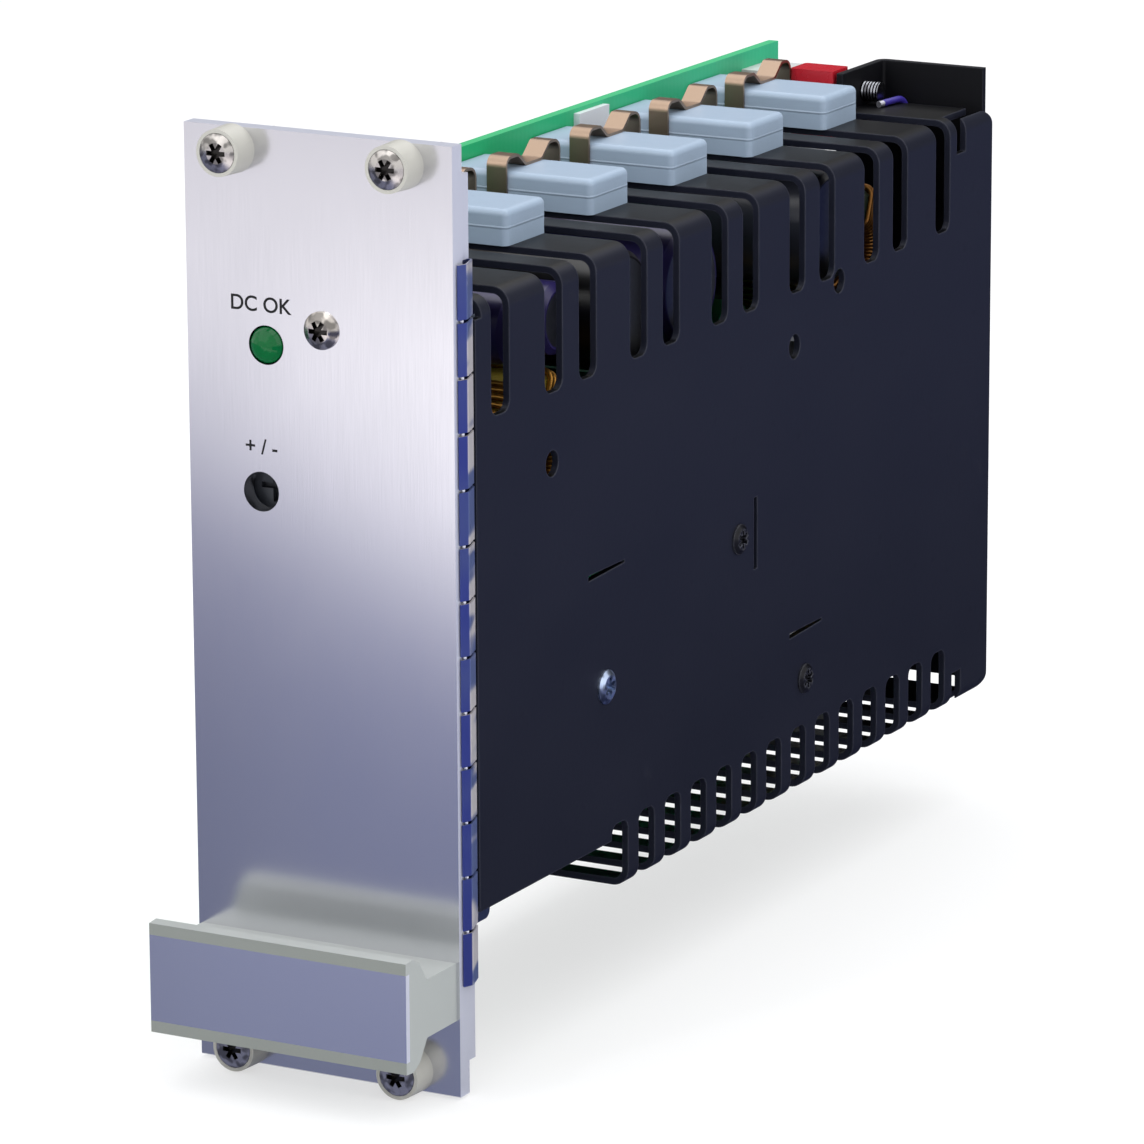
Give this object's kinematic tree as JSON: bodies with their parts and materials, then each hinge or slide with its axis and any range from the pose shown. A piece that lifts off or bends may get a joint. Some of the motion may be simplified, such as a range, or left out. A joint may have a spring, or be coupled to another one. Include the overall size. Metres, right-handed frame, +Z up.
{
  "type": "rackmount power supply",
  "caption": "Slim plug-in power supply for a rack: front panel with pull handle and captive screws, board with rear connector, and a slotted black cover with clamped caps.",
  "frame": {"origin": "centre of the four-screw pattern on the rear face of the front panel", "axes": "+X right along the front panel, +Y back into the rack, +Z up"},
  "size_m": [0.0415, 0.1854, 0.129],
  "materials": {
    "panel_metal": "brushed, clear anodised",
    "spring_steel": "bright spring strip",
    "handle_plastic": "light grey, fine texture",
    "strip_metal": "plain, satin",
    "bright_metal": "polished",
    "sheet_metal": "plain, satin",
    "board_laminate": "green, slightly glossy",
    "black_paint": "satin black",
    "green_lens": "dark green lens",
    "black_plastic": "moulded",
    "pale_plastic": "moulded, pale grey",
    "bronze": "spring bronze, satin",
    "can_sleeve": "shrunk sleeve",
    "ferrite": "pressed core",
    "copper_wire": "lacquered wire",
    "yellow_plastic": "moulded",
    "fuse_glass": "glass tube",
    "red_plastic": "moulded, glossy",
    "violet_plastic": "wire cover",
    "collar_plastic": "moulded, cream grey",
    "grey_silicone": "soft silicone, satin"
  },
  "bodies": {
    "chassis": {"front_panel": "panel_metal", "contact_strip": "spring_steel", "pull_handle": "handle_plastic", "handle_strip": "strip_metal", "panel_screw": "bright_metal", "board_bracket": "sheet_metal", "side_angle": "sheet_metal", "main_board": "board_laminate", "slotted_cover": "black_paint", "wall_posts": "sheet_metal", "indicator_lamp": "green_lens", "indicator_holder": "black_plastic", "trimmer_body": "black_plastic", "bright_wall_screw": "bright_metal", "black_wall_screws": "black_paint", "power_transistors": "black_plastic", "rear_bracket": "black_paint", "rear_connector": "pale_plastic", "connector_blades": "bronze", "connector_screws": "bright_metal", "connector_spacers": "sheet_metal", "output_capacitors": "can_sleeve", "filter_capacitors": "can_sleeve", "bulk_capacitors": "can_sleeve", "output_choke_core": "ferrite", "output_choke_winding": "copper_wire", "output_choke_base": "black_plastic", "mains_choke_core": "ferrite", "mains_choke_winding": "copper_wire", "mains_choke_base": "black_plastic", "transformer_core": "ferrite", "transformer_winding": "copper_wire", "transformer_foot": "black_plastic", "line_capacitor": "yellow_plastic", "bridge_rectifier": "black_plastic", "mains_fuse": "fuse_glass", "fuse_clips": "bronze", "film_capacitor": "red_plastic", "white_chip": "pale_plastic", "earth_wire": "violet_plastic", "screw_collar_1": "collar_plastic", "screw_collar_2": "collar_plastic", "screw_collar_3": "collar_plastic", "screw_collar_4": "collar_plastic", "insulating_cap_1": "grey_silicone", "spring_clip_1": "bronze", "insulating_cap_2": "grey_silicone", "spring_clip_2": "bronze", "insulating_cap_3": "grey_silicone", "spring_clip_3": "bronze", "insulating_cap_4": "grey_silicone", "spring_clip_4": "bronze", "insulating_cap_5": "grey_silicone", "spring_clip_5": "bronze"},
    "screw_1": {"captive_screw_1": "bright_metal"},
    "screw_2": {"captive_screw_2": "bright_metal"},
    "screw_3": {"captive_screw_3": "bright_metal"},
    "screw_4": {"captive_screw_4": "bright_metal"},
    "rotor": {"trimmer_rotor": "pale_plastic"}
  },
  "joints": [
    {"name": "screw_1_turn", "type": "hinge", "parent": "chassis", "child": "screw_1", "pos_m": [-0.0127, -0.004, 0.06125], "axis": [0, 1, 0], "continuous": true},
    {"name": "screw_2_turn", "type": "hinge", "parent": "chassis", "child": "screw_2", "pos_m": [0.0127, -0.004, 0.06125], "axis": [0, 1, 0], "continuous": true},
    {"name": "screw_3_turn", "type": "hinge", "parent": "chassis", "child": "screw_3", "pos_m": [-0.0127, -0.004, -0.06125], "axis": [0, 1, 0], "continuous": true},
    {"name": "screw_4_turn", "type": "hinge", "parent": "chassis", "child": "screw_4", "pos_m": [0.0127, -0.004, -0.06125], "axis": [0, 1, 0], "continuous": true},
    {"name": "trimmer_turn", "type": "hinge", "parent": "chassis", "child": "rotor", "pos_m": [-0.0092, 0.0012, 0.0155], "axis": [0, 1, 0], "range_deg": [-130, 130]}
  ]
}
